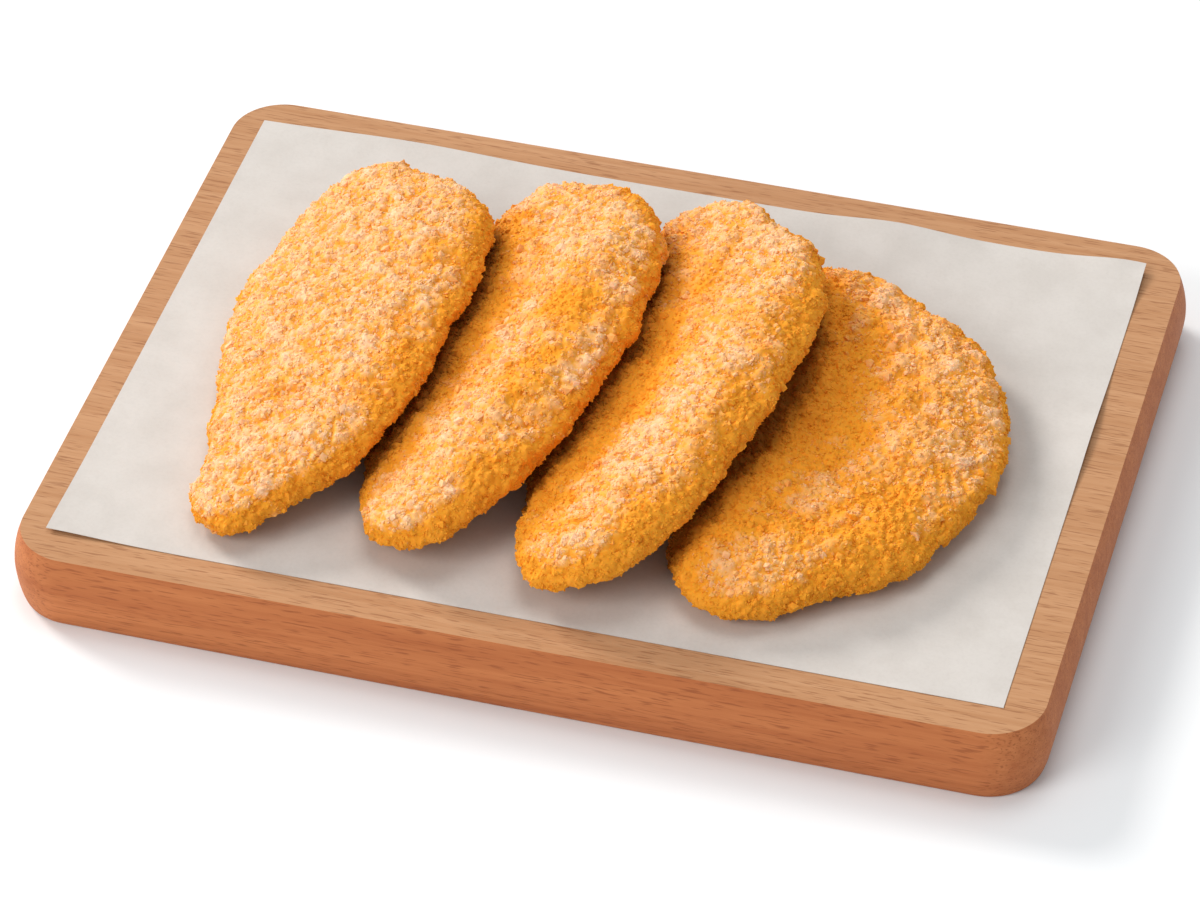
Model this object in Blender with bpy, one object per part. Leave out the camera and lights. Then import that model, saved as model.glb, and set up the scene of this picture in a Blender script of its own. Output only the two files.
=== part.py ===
"""Four breaded schnitzels, shingled on a sheet of baking paper on a beech board.

Metres, +Z up. The board's long side runs along X and its underside rests on Z = 0.
"""

import math

import bmesh
import bpy
import numpy as np
from mathutils import Euler, Vector
from mathutils.bvhtree import BVHTree

MM = 0.001
FIT_GAP = 0.3 * MM

# Beech board: overall size, and the soft swell of its side walls at mid-height.
BOARD_LENGTH = 320 * MM
BOARD_WIDTH = 240 * MM
BOARD_THICK = 25 * MM
BOARD_CORNER_RADIUS = 19.5 * MM
BOARD_SWELL = 2.5 * MM
BOARD_TUCK_POWER = 1.45
BOARD_CORNER_STEPS = 7
BOARD_WALL_STEPS = 8

# Baking paper: a hand-cut sheet, a little smaller than the board.
PAPER_LENGTH = 294 * MM
PAPER_WIDTH = 212 * MM
PAPER_THICK = 0.3 * MM
PAPER_MIDDLE = (-1.5 * MM, 0.5 * MM)
PAPER_COLUMNS = 26
PAPER_ROWS = 16
# Where the sheet stands clear of the board: x, y, height, spread (mm).
PAPER_LIFTS = (
    (-148, -106, 1.2, 22),
    (142, 110, 2.6, 17),
    (66, 109, 2.0, 18),
    (-95, 108, 1.6, 34),
    (148, 20, 1.4, 22),
)

# Ring counts of each schnitzel's mesh: round the edge, over the top, under the base.
EDGE_STEPS = 60
TOP_RINGS = 7
BASE_RINGS = 5
EDGE_LEVEL = 0.42
CROWN_POWER = 2.8
CROWN_ROOT = 2.2
BASE_POWER = 4.5

# One entry for each schnitzel. length, width and the two thicknesses are mm.
# outline is how far the edge stands out from a plain oval, in mm, at twelve even
# turns from the right-hand side round by the back. nose and heel are the lengths
# of the rounded front and back ends. lean lifts the right side and rise lifts the
# back, in degrees. relief lists each swelling or hollow of the top as height, x, y,
# spread across, spread along (mm) and turn (degrees).
SCHNITZELS = {
    "schnitzel_4": {
        "length": 146, "width": 94, "front_thick": 17, "back_thick": 19,
        "nose": 34, "heel": 34,
        "outline": (2, 1, -3, 2, 13, 0, 0, 0, 15, 3, -3, -1),
        "middle": (75, -13), "turn": 1, "lean": 0.0, "rise": 0.0,
        "relief": ((-3.6, -9, -6, 16, 25, 12), (1.4, 4, -58, 30, 6, 4), (1.0, 30, 10, 8, 26, 0)),
        "rests_on": (),
    },
    "schnitzel_3": {
        "length": 176, "width": 78, "front_thick": 16, "back_thick": 22,
        "nose": 20, "heel": 34,
        "outline": (0, 2, -3, 0, 14, 1, 0, -3, 1, 1, 0, -2),
        "middle": (24, -15), "turn": -6, "lean": 21.0, "rise": 1.5,
        "relief": ((2.6, 25, -2, 7, 42, -7), (-3.2, -5, -10, 7, 42, -5), (-2.5, -11, 70, 4, 5, 0)),
        "rests_on": ("schnitzel_4",),
    },
    "schnitzel_2": {
        "length": 172, "width": 78, "front_thick": 16, "back_thick": 22,
        "nose": 20, "heel": 34,
        "outline": (-1, 2, -1, -5, 3, 1, 0, -3, 0, 1, -3, -3),
        "middle": (-28, -10), "turn": -5, "lean": 19.4, "rise": 2.2,
        "relief": ((2.6, 19, -8, 7, 44, -5), (-2.8, -7, -6, 7, 44, -5)),
        "rests_on": ("schnitzel_3", "schnitzel_4"),
    },
    "schnitzel_1": {
        "length": 174, "width": 81, "front_thick": 15, "back_thick": 21,
        "nose": 20, "heel": 34,
        "outline": (-2, 3, -5, -8, 2, 2, -2, -8, 1, -3, -7, -2),
        "middle": (-83, -14), "turn": -2, "lean": 18.0, "rise": 3.0,
        "relief": ((-1.5, -3, -35, 16, 3.5, 2), (1.2, 8, 14, 20, 30, 0), (-1.0, -1, -74, 5, 4, 0)),
        "rests_on": ("schnitzel_2", "schnitzel_3"),
    },
}

# Colour, roughness and metallic value of each material.
BEECH = ((0.56, 0.33, 0.18, 1.0), 0.55, 0.0)
BAKING_PAPER = ((0.80, 0.77, 0.72, 1.0), 0.75, 0.0)
CRUMB_CRUST = ((0.80, 0.47, 0.16, 1.0), 0.85, 0.0)


def clear_scene():
    """Remove every object that is in the scene."""
    for obj in list(bpy.data.objects):
        bpy.data.objects.remove(obj, do_unlink=True)


def make_material(name, look):
    """Return a Principled material with the given colour, roughness and metallic value."""
    colour, roughness, metallic = look
    material = bpy.data.materials.new(name)
    material.use_nodes = True
    shader = material.node_tree.nodes["Principled BSDF"]
    shader.inputs["Base Color"].default_value = colour
    shader.inputs["Roughness"].default_value = roughness
    shader.inputs["Metallic"].default_value = metallic
    material.diffuse_color = colour
    return material


def add_object(name, vertices, faces, look):
    """Make a named object whose faces all point outwards."""
    mesh = bpy.data.meshes.new(name)
    mesh.from_pydata([tuple(v) for v in vertices], [], faces)
    body = bmesh.new()
    body.from_mesh(mesh)
    bmesh.ops.recalc_face_normals(body, faces=body.faces)
    bmesh.ops.triangulate(body, faces=body.faces)
    body.to_mesh(mesh)
    body.free()
    mesh.shade_smooth()
    mesh.set_sharp_from_angle(angle=math.radians(50))
    obj = bpy.data.objects.new(name, mesh)
    bpy.context.scene.collection.objects.link(obj)
    mesh.materials.append(make_material(name, look))
    return obj


def skin_loops(loops):
    """Join closed loops of one even count into a body, with its ends closed by strips.

    Point i of an end loop faces point count - i across the strip.
    """
    count = len(loops[0])
    vertices = [point for loop in loops for point in loop]
    faces = []
    for row in range(len(loops) - 1):
        for i in range(count):
            j = (i + 1) % count
            a = row * count
            b = a + count
            faces.append((a + i, a + j, b + j, b + i))
    for start in (0, (len(loops) - 1) * count):
        faces.append((start, start + 1, start + count - 1))
        for i in range(1, count // 2 - 1):
            faces.append((start + i, start + i + 1, start + count - i - 1, start + count - i))
        middle = start + count // 2
        faces.append((middle - 1, middle, middle + 1))
    return vertices, faces


def rounded_rectangle(length, width, radius, z):
    """One loop round a rectangle with rounded corners, at height z."""
    loop = []
    for corner, (sx, sy) in enumerate(((1, 1), (-1, 1), (-1, -1), (1, -1))):
        centre_x = sx * (length / 2 - radius)
        centre_y = sy * (width / 2 - radius)
        for step in range(BOARD_CORNER_STEPS + 1):
            angle = math.radians(90 * (corner + step / BOARD_CORNER_STEPS))
            x = centre_x + radius * math.cos(angle)
            y = centre_y + radius * math.sin(angle)
            loop.append((x, y, z))
    return loop


def board_inset(height_share):
    """How far the side wall lies inside its widest line, at a share of the thickness."""
    from_middle = abs(2 * height_share - 1)
    if height_share >= 0.5:
        return BOARD_SWELL * from_middle ** 2
    return BOARD_SWELL * (1 - (1 - from_middle ** BOARD_TUCK_POWER) ** (1 / BOARD_TUCK_POWER))


def build_board():
    """The beech board, with crisp upper edges and walls that swell outwards."""
    loops = []
    for step in range(BOARD_WALL_STEPS + 1):
        share = step / BOARD_WALL_STEPS
        inset = board_inset(share)
        loops.append(
            rounded_rectangle(
                BOARD_LENGTH - 2 * inset,
                BOARD_WIDTH - 2 * inset,
                BOARD_CORNER_RADIUS - inset,
                share * BOARD_THICK,
            )
        )
    vertices, faces = skin_loops(loops)
    return add_object("board", vertices, faces, BEECH)


def paper_lift(x, y):
    """Height of the paper above its flat lie, where an edge or corner stands up."""
    lift = 0.0
    for place_x, place_y, height, spread in PAPER_LIFTS:
        away = math.hypot(x / MM - place_x, y / MM - place_y) / spread
        lift += height * MM * math.exp(-away * away)
    # Everything well inside the edges lies flat under the food.
    inside = min(PAPER_LENGTH / 2 - abs(x), PAPER_WIDTH / 2 - abs(y))
    return lift * max(0.0, 1.0 - inside / (22 * MM)) ** 1.5


def build_paper():
    """The sheet of baking paper: flat under the food, with lifted edges."""
    sheets = []
    for thickness in (0.0, PAPER_THICK):
        for row in range(PAPER_ROWS + 1):
            for column in range(PAPER_COLUMNS + 1):
                x = (column / PAPER_COLUMNS - 0.5) * PAPER_LENGTH
                y = (row / PAPER_ROWS - 0.5) * PAPER_WIDTH
                z = BOARD_THICK + FIT_GAP + thickness + paper_lift(x, y)
                sheets.append((x + PAPER_MIDDLE[0], y + PAPER_MIDDLE[1], z))
    across = PAPER_COLUMNS + 1
    layer = across * (PAPER_ROWS + 1)
    faces = []
    for row in range(PAPER_ROWS):
        for column in range(PAPER_COLUMNS):
            a = row * across + column
            b = a + across
            faces.append((a, b, b + 1, a + 1))
            faces.append((layer + a, layer + a + 1, layer + b + 1, layer + b))
    rim = [column for column in range(PAPER_COLUMNS)]
    rim += [row * across + PAPER_COLUMNS for row in range(PAPER_ROWS)]
    rim += [PAPER_ROWS * across + column for column in range(PAPER_COLUMNS, 0, -1)]
    rim += [row * across for row in range(PAPER_ROWS, 0, -1)]
    for i, a in enumerate(rim):
        b = rim[(i + 1) % len(rim)]
        faces.append((a, b, layer + b, layer + a))
    return add_object("paper", sheets, faces, BAKING_PAPER)


def smooth_round(samples, angles):
    """Read a closed, smooth curve through evenly turned samples at each angle."""
    waves = np.fft.rfft(samples) / len(samples)
    weights = np.full(len(waves), 2.0)
    weights[0] = 1.0
    weights[-1] = 1.0
    turns = np.exp(1j * np.outer(np.arange(len(waves)), angles))
    return (weights[:, None] * (waves[:, None] * turns).real).sum(axis=0)


def edge_points(piece, angles):
    """Points of a schnitzel's outline: a plain oval, moved in or out along its normal."""
    half_width = piece["width"] * MM / 2
    half_length = piece["length"] * MM / 2
    out = smooth_round(np.array(piece["outline"]) * MM, angles)
    normal_x = np.cos(angles) / half_width
    normal_y = np.sin(angles) / half_length
    size = np.hypot(normal_x, normal_y)
    x = half_width * np.cos(angles) + out * normal_x / size
    y = half_length * np.sin(angles) + out * normal_y / size
    return np.column_stack((x, y))


def even_outline(piece, count):
    """The outline from its front end, with its points evenly spaced along the edge."""
    angles = np.linspace(-math.pi / 2, 1.5 * math.pi, 1441)
    fine = edge_points(piece, angles)
    run = np.hypot(*np.diff(fine, axis=0).T).cumsum()
    run = np.concatenate(((0.0,), run))
    even = np.interp(np.arange(count) / count * run[-1], run, angles)
    return edge_points(piece, even)


def top_relief(piece, x, y):
    """Swellings and hollows of the upper side."""
    total = np.zeros_like(x)
    for height, place_x, place_y, across, along, turn in piece["relief"]:
        angle = math.radians(turn)
        dx = x / MM - place_x
        dy = y / MM - place_y
        u = (dx * math.cos(angle) + dy * math.sin(angle)) / across
        v = (dy * math.cos(angle) - dx * math.sin(angle)) / along
        total += height * MM * np.exp(-0.5 * (u * u + v * v))
    return total


def schnitzel_loops(piece):
    """Loops of one schnitzel lying level, from the middle of its top to its base."""
    outline = even_outline(piece, EDGE_STEPS)
    front = outline[:, 1].min()
    back = outline[:, 1].max()
    # Every ring shrinks towards a line down the middle, not to one point.
    spine_y = np.clip(outline[:, 1], front + piece["nose"] * MM, back - piece["heel"] * MM)
    spine = np.column_stack((np.zeros(EDGE_STEPS), spine_y))
    loops = []
    for ring in range(TOP_RINGS + BASE_RINGS + 1):
        on_top = ring <= TOP_RINGS
        step = ring / TOP_RINGS if on_top else (TOP_RINGS + BASE_RINGS - ring) / BASE_RINGS
        share = max(0.06, math.sin(step * math.pi / 2) ** 0.9)
        x, y = (spine + share * (outline - spine)).T
        along = (y - front) / (back - front)
        thick = (piece["front_thick"] + (piece["back_thick"] - piece["front_thick"]) * along) * MM
        edge_z = EDGE_LEVEL * thick
        if on_top:
            crown = (1 - share ** CROWN_POWER) ** (1 / CROWN_ROOT)
            z = edge_z + (thick - edge_z) * crown + top_relief(piece, x, y) * (1 - share ** 6)
        else:
            z = edge_z * (1 - math.sqrt(1 - share ** BASE_POWER))
        loops.append(np.column_stack((x, y, z)))
    return loops


def vertical_clearance(vertices, faces, others):
    """Least drop before a body meets the bodies or the paper below it."""
    floor = BOARD_THICK + FIT_GAP + PAPER_THICK
    least = min(v.z for v in vertices) - floor
    own_tree = BVHTree.FromPolygons(vertices, faces)
    for other in others:
        other_vertices = [v.co.copy() for v in other.data.vertices]
        other_faces = [tuple(p.vertices) for p in other.data.polygons]
        tree = BVHTree.FromPolygons(other_vertices, other_faces)
        for vertex in vertices:
            distance = tree.ray_cast(vertex, Vector((0, 0, -1)))[3]
            if distance is not None:
                least = min(least, distance)
        for vertex in other_vertices:
            distance = own_tree.ray_cast(vertex, Vector((0, 0, 1)))[3]
            if distance is not None:
                least = min(least, distance)
    return least


def build_schnitzel(name, others):
    """One schnitzel, leant over and let down on to what lies below it."""
    piece = SCHNITZELS[name]
    vertices, faces = skin_loops(schnitzel_loops(piece))
    lean = Euler((math.radians(piece["rise"]), -math.radians(piece["lean"]), 0), "YXZ").to_matrix()
    turn = Euler((0, 0, math.radians(piece["turn"]))).to_matrix()
    middle = Vector((piece["middle"][0] * MM, piece["middle"][1] * MM, 4 * BOARD_THICK))
    placed = [turn @ lean @ Vector(v) + middle for v in vertices]
    drop = vertical_clearance(placed, faces, others) - FIT_GAP
    placed = [v - Vector((0, 0, drop)) for v in placed]
    return add_object(name, placed, faces, CRUMB_CRUST)


def build():
    """Build the board, the paper and the schnitzels from the lowest one up."""
    clear_scene()
    build_board()
    build_paper()
    built = {}
    for name, piece in SCHNITZELS.items():
        others = [built[other] for other in piece["rests_on"]]
        built[name] = build_schnitzel(name, others)


build()
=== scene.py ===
"""Crumbed schnitzels shingled on baking paper and a beech board.

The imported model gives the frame, the sizes of the board and the resting height of
every piece. This script makes the surfaces that show: the crust with its crumbs, the
paper with its lifted edges, the grain of the beech, and the light and camera.
Everything is in metres, with +Z up and the board's underside at Z = 0.
"""

import logging
import math
from dataclasses import dataclass, field
from enum import Enum
from itertools import combinations

import bpy
import numpy as np
from bpy.types import Material, NodeSocket, Object
from mathutils import Euler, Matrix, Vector


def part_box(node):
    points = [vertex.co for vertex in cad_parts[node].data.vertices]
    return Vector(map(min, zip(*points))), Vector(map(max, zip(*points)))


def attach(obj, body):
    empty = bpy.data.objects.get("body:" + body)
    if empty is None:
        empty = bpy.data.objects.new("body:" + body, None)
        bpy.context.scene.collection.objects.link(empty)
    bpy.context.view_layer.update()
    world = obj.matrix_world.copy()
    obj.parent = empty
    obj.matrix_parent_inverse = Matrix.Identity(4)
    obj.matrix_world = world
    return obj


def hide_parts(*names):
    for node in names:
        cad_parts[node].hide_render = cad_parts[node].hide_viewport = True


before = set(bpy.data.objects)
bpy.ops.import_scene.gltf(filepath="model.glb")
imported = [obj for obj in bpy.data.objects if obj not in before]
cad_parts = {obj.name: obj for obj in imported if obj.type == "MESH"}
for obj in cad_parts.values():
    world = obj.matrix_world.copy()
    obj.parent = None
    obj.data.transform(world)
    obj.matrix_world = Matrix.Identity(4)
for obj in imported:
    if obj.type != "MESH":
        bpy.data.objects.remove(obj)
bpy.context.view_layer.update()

MM = 0.001
ROOT = "root"
# The paper's flat lie is this far over its CAD underside, and crumbs stop short of it.
PAPER_LIE = 0.3 * MM
CRUMB_GAP = 0.05 * MM
# Shares of the way out that are smaller than this count as the spine itself.
TINY = 1e-9
# Whole numbers of 32 bits are stirred by odd multipliers, one to each axis.
STIR = (0x9E3779B1, 0x85EBCA77, 0xC2B2AE3D)
FINISHING_STEPS = ((16, 0x7FEB352D), (15, 0x846CA68B))
WHOLE = 0xFFFFFFFF

Array = np.ndarray
Colour = tuple[float, float, float]

log = logging.getLogger("schnitzel_board")


# ---- numbers


def cell_hash(cells: Array, seed: int) -> Array:
    """Give every lattice cell a steady number from 0 to 1.

    Args:
        cells: Whole cell numbers, shape (..., 3).
        seed: Chooses one of many unrelated sets of numbers.

    Returns:
        One number for each cell, shape (...).
    """
    whole = np.uint64(WHOLE)
    wide = cells.astype(np.int64).astype(np.uint64) & whole
    mixed = np.uint64(seed * STIR[0] & WHOLE)
    for axis, factor in enumerate(STIR):
        mixed = mixed ^ wide[..., axis] * np.uint64(factor)
    mixed &= whole
    for shift, factor in FINISHING_STEPS:
        mixed ^= mixed >> np.uint64(shift)
        mixed = (mixed * np.uint64(factor)) & whole
    mixed ^= mixed >> np.uint64(16)
    return mixed.astype(np.float64) / WHOLE


def soft_noise(points: Array, size: float, seed: int) -> Array:
    """Smooth random swells, about one to each cube of the given size.

    Args:
        points: Places to read, shape (n, 3).
        size: Edge of one lattice cube.
        seed: Chooses the pattern.

    Returns:
        Values from -1 to 1, shape (n,).
    """
    scaled = points / size
    base = np.floor(scaled)
    part = scaled - base
    part = part * part * (3 - 2 * part)
    total = np.zeros(len(points))
    for corner in np.ndindex(2, 2, 2):
        step = np.array(corner)
        weight = np.prod(np.where(step, part, 1 - part), axis=1)
        total += weight * cell_hash(base + step, seed)
    return 2 * total - 1


def blur(grid: Array, spread: float) -> Array:
    """Soften a grid of numbers with a bell-shaped spread.

    Args:
        grid: The numbers, shape (n, m).
        spread: The bell's spread, in cells.

    Returns:
        The softened grid.
    """
    reach = np.arange(-round(3 * spread), round(3 * spread) + 1)
    bell = np.exp(-0.5 * (reach / spread) ** 2)
    bell /= bell.sum()
    for axis in (0, 1):
        grid = np.apply_along_axis(np.convolve, axis, grid, bell, "same")
    return grid


@dataclass(frozen=True)
class Granules:
    """One size of crumb that sits in the crust as rounded lumps."""

    spacing: float
    height: float
    share: float
    least_radius: float
    most_radius: float
    seed: int
    block: float = 2.8
    point: float = 0.85

    def read(self, points: Array) -> tuple[Array, Array]:
        """Measure the lumps at each point.

        Args:
            points: Places on the crust, shape (n, 3).

        Returns:
            The height of the lump at each point, and that lump's own number from 0 to 1.
        """
        scaled = points / self.spacing
        base = np.floor(scaled)
        height = np.zeros(len(points))
        owner = np.full(len(points), 0.5)
        for corner in np.ndindex(3, 3, 3):
            cell = base + (np.array(corner) - 1)
            place = np.stack(
                [cell[:, axis] + cell_hash(cell, self.seed + axis) for axis in range(3)], axis=1
            )
            token = cell_hash(cell, self.seed + 3)
            size = cell_hash(cell, self.seed + 4)
            radius = self.least_radius + (self.most_radius - self.least_radius) * size
            offset = scaled - place
            # Lumps are blocky and a little pointed, as broken crumbs are.
            distance = (np.abs(offset) ** self.block).sum(axis=1) ** (1 / self.block)
            inside = np.clip(1 - (distance / radius) ** 2, 0, None) ** self.point
            lump = np.where(token < self.share, inside * radius / self.most_radius, 0)
            higher = lump > height
            height = np.where(higher, lump, height)
            owner = np.where(higher, size * 0.5 + token * 0.5 / max(self.share, 1e-6), owner)
        return height * self.height, owner


# ---- mesh


def link(name: str, data: bpy.types.ID) -> Object:
    """Make an object and link it into the scene.

    Args:
        name: The object's name.
        data: Its mesh, light or camera.

    Returns:
        The new object.
    """
    thing = bpy.data.objects.new(name, data)
    bpy.context.scene.collection.objects.link(thing)
    return thing


def make_piece(name: str, points: Array, triangles: Array) -> Object:
    """Make a smooth-shaded mesh object from points and triangles.

    Args:
        name: The object's name.
        points: Vertex places in world metres, shape (n, 3).
        triangles: Vertex numbers, shape (m, 3).

    Returns:
        The new object, linked into the scene.
    """
    mesh = bpy.data.meshes.new(name)
    mesh.from_pydata(points, [], triangles)
    mesh.shade_smooth()
    return link(name, mesh)


def paint(piece: Object, name: str, values: Array) -> None:
    """Store one number for each vertex under a name, for the finish to read."""
    layer = piece.data.attributes.new(name, "FLOAT", "POINT")
    layer.data.foreach_set("value", np.ascontiguousarray(values, np.float32))


def vertex_normals(points: Array, triangles: Array) -> Array:
    """Work out outward unit normals by averaging over the triangles.

    Args:
        points: Vertex places, shape (n, 3).
        triangles: Vertex numbers, shape (m, 3).

    Returns:
        Unit normals, shape (n, 3).
    """
    a, b, c = (points[triangles[:, i]] for i in range(3))
    facing = np.cross(b - a, c - a)
    total = np.zeros_like(points)
    for axis in range(3):
        for i in range(3):
            total[:, axis] += np.bincount(triangles[:, i], facing[:, axis], len(points))
    return total / np.maximum(np.linalg.norm(total, axis=1, keepdims=True), 1e-12)


@dataclass
class Ring:
    """One closed ring of a skin: its first vertex, and how far round each point lies."""

    start: int
    turns: Array
    share: float


def zip_rings(outer: Ring, inner: Ring) -> Array:
    """Fill the band between two closed rings that have different counts of points.

    Args:
        outer: The first ring.
        inner: The second ring.

    Returns:
        Triangles, shape (m, 3).
    """
    count_a, count_b = len(outer.turns), len(inner.turns)
    ends = np.concatenate((outer.turns[1:], (1.0,), inner.turns[1:], (1.0,)))
    from_a = np.concatenate((np.ones(count_a, bool), np.zeros(count_b, bool)))
    order = np.argsort(ends, kind="stable")
    from_a = from_a[order]
    i = np.concatenate(((0,), np.cumsum(from_a)))[:-1]
    j = np.concatenate(((0,), np.cumsum(~from_a)))[:-1]
    corner_a = outer.start + i % count_a
    corner_b = inner.start + j % count_b
    step = np.where(from_a, outer.start + (i + 1) % count_a, inner.start + (j + 1) % count_b)
    return np.column_stack((corner_a, step, corner_b))


# ---- finishes


class Bench:
    """Lays out the nodes of one finish."""

    def __init__(self, name: str, roughness: float, specular: float = 0.5) -> None:
        """Start a material with a Principled shader.

        Args:
            name: The material's name.
            roughness: The surface's roughness.
            specular: Its specular level.
        """
        self.material = bpy.data.materials.new(name)
        self.material.use_nodes = True
        self.tree = self.material.node_tree
        self.shader = self.tree.nodes["Principled BSDF"]
        self.shader.inputs["Roughness"].default_value = roughness
        self.shader.inputs["Specular IOR Level"].default_value = specular

    def add(self, kind: str, inputs: dict, out: object = 0, **settings: object) -> NodeSocket:
        """Add a node, set its properties and feed its inputs.

        Args:
            kind: The node's type, without its leading word.
            inputs: What feeds each input, by name or number.
            out: Name or number of the output to use.
            **settings: Property names and values.

        Returns:
            The output.
        """
        node = self.tree.nodes.new("ShaderNode" + kind)
        for key, value in settings.items():
            setattr(node, key, value)
        for key, value in inputs.items():
            self.feed(node.inputs[key], value)
        return node.outputs[out]

    def feed(self, socket: NodeSocket, value: object) -> None:
        """Link a socket to another, or set it to a plain value.

        Args:
            socket: The input to feed.
            value: An output socket, a number or a colour.
        """
        if isinstance(value, NodeSocket):
            self.tree.links.new(value, socket)
        elif isinstance(value, tuple) and len(value) == 3 and socket.type == "RGBA":
            socket.default_value = (*value, 1.0)
        else:
            socket.default_value = value

    def stored(self, name: str) -> NodeSocket:
        """Read a value stored on the vertices."""
        return self.add("Attribute", {}, "Fac", attribute_name=name)

    def place(self, stretch: tuple = (1, 1, 1)) -> NodeSocket:
        """Read the place on the object, stretched along its axes."""
        where = self.add("TexCoord", {}, "Object")
        return self.add("Mapping", {"Vector": where, "Scale": stretch})

    def noise(
        self, where: NodeSocket, scale: float, detail: float = 3.0, rough: float = 0.5,
        twist: float = 0.0,
    ) -> NodeSocket:
        """Add cloudy noise of so many swells to a metre, which centres on one half."""
        inputs = {"Vector": where, "Scale": scale, "Detail": detail, "Roughness": rough}
        return self.add("TexNoise", {**inputs, "Distortion": twist}, "Fac")

    def remap(
        self, value: object, low: float, high: float, new_low: float = 0.0, new_high: float = 1.0
    ) -> NodeSocket:
        """Stretch a value's range from low-high to new_low-new_high, and clamp it."""
        inputs = {"Value": value, "From Min": low, "From Max": high}
        return self.add("MapRange", {**inputs, "To Min": new_low, "To Max": new_high}, "Result")

    def math(self, operation: str, first: object, second: object = 0.0) -> NodeSocket:
        """Combine two values by the named operation."""
        return self.add("Math", {0: first, 1: second}, operation=operation)

    def blend(
        self, share: object, under: object, over: object, mode: str = "MIX"
    ) -> NodeSocket:
        """Lay one colour over another, by the share of the upper one that shows."""
        inputs = {0: share, 6: under, 7: over}
        return self.add("Mix", inputs, 2, data_type="RGBA", blend_type=mode)

    def bump(self, height: object, depth: float, strength: float = 1.0) -> None:
        """Raise the shading by a height from 0 to 1, where 1 is depth metres high."""
        inputs = {"Strength": strength, "Distance": depth, "Height": height}
        self.feed(self.shader.inputs["Normal"], self.add("Bump", inputs, "Normal"))


@dataclass(frozen=True)
class CrustFinish:
    """Golden fried crumb, its own colour mixed with painted shade: pale on the tips, deeper in the
    pits, browned in places, dark under a neighbour's edge.
    """

    name: str = "golden_crumb"
    pit: Colour = (0.84, 0.31, 0.024)
    slope: Colour = (0.88, 0.400, 0.070)
    crown: Colour = (0.89, 0.49, 0.245)
    tip: Colour = (0.92, 0.575, 0.345)
    golden: Colour = (0.92, 0.45, 0.10)
    # Browning colour, also used as painted shade on steep sides and as painted shadow in the valleys
    # under the schnitzel above.
    browned_and_shaded: Colour = (0.86, 0.325, 0.019)
    # Near-black brown of the painted shade in the crevices under a neighbour's edge.
    painted_crevice_shade: Colour = (0.26, 0.085, 0.006)
    roughness: float = 0.72
    specular: float = 0.12
    glow: float = 0.22
    glow_colours: Colour = (1.0, 0.42, 0.10)
    glow_depth: float = 1.1 * MM
    fine_grain: float = 1300.0
    fine_depth: float = 0.25 * MM

    def material(self) -> Material:
        """Build the crust's material from the values stored on its vertices.

        Returns:
            The material.
        """
        bench = Bench(self.name, self.roughness, self.specular)
        where = bench.place()
        fine = bench.noise(where, self.fine_grain, 4.0, 0.6)
        height = bench.stored("crumb_height")
        height = bench.math("ADD", height, bench.remap(fine, 0.3, 0.7, -0.08, 0.08))
        # The colour runs from pit to tip with the crust's height: partly the crumbs' own colour,
        # partly painted shade in the hollows between them.
        colour, low = self.pit, 0.08
        for high, next_colour in ((0.30, self.slope), (0.58, self.crown), (0.92, self.tip)):
            colour = bench.blend(bench.remap(height, low, high), colour, next_colour)
            low = high
        shade = bench.stored("crumb_shade")
        colour = bench.blend(bench.remap(shade, 0.66, 0.90, 0.0, 0.5), colour, self.golden)
        mottled = bench.noise(where, 170.0, 3.0, 0.6)
        mottled = bench.remap(mottled, 0.30, 0.58, 0.75, 1.0)
        toast = bench.math("MULTIPLY", bench.stored("toast"), mottled)
        # The toast share, browning mixed with painted shade and shadow, is a little weaker on the
        # crumbs' tips than on their sides.
        toast = bench.math("MULTIPLY", toast, bench.remap(height, 0.25, 1.0, 1.0, 0.88))
        colour = bench.blend(bench.remap(toast, 0.10, 0.62, 0.0, 0.98), colour, self.browned_and_shaded)
        # Painted shade: crust under or beside the edge of the schnitzel above darkens towards
        # near-black brown, standing for the shade in the crevice.
        colour = bench.blend(bench.remap(bench.stored("painted_crevice_shade"), 0.10, 0.75), colour, self.painted_crevice_shade)
        bench.feed(bench.shader.inputs["Base Color"], colour)
        bench.shader.inputs["Subsurface Weight"].default_value = self.glow
        bench.shader.inputs["Subsurface Radius"].default_value = self.glow_colours
        bench.shader.inputs["Subsurface Scale"].default_value = self.glow_depth
        bench.bump(fine, self.fine_depth, 0.6)
        return bench.material


@dataclass(frozen=True)
class PaperFinish:
    """Unbleached baking paper: warm white, faintly cloudy, matt."""

    name: str = "baking_paper"
    fibre: Colour = (0.625, 0.575, 0.53)
    thin: Colour = (0.58, 0.53, 0.485)
    roughness: float = 0.72
    specular: float = 0.25

    def material(self) -> Material:
        """Build the paper's material: clouds in the pulp and a soft cockle.

        Returns:
            The material.
        """
        bench = Bench(self.name, self.roughness, self.specular)
        where = bench.place()
        cloud = bench.noise(where, 70.0, 5.0, 0.6)
        speck = bench.noise(where, 900.0, 3.0, 0.6)
        colour = bench.blend(bench.remap(cloud, 0.35, 0.65), self.fibre, self.thin)
        specks = bench.remap(speck, 0.45, 0.75, 0.0, 0.10)
        colour = bench.blend(specks, colour, self.thin, "MULTIPLY")
        bench.feed(bench.shader.inputs["Base Color"], colour)
        bench.bump(speck, 0.05 * MM, 0.4)
        return bench.material


class Cut(Enum):
    """Which way the beech was cut: along its grain, or across its ends."""

    FACE = "beech_face"
    SIDE = "beech_side"


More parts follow.
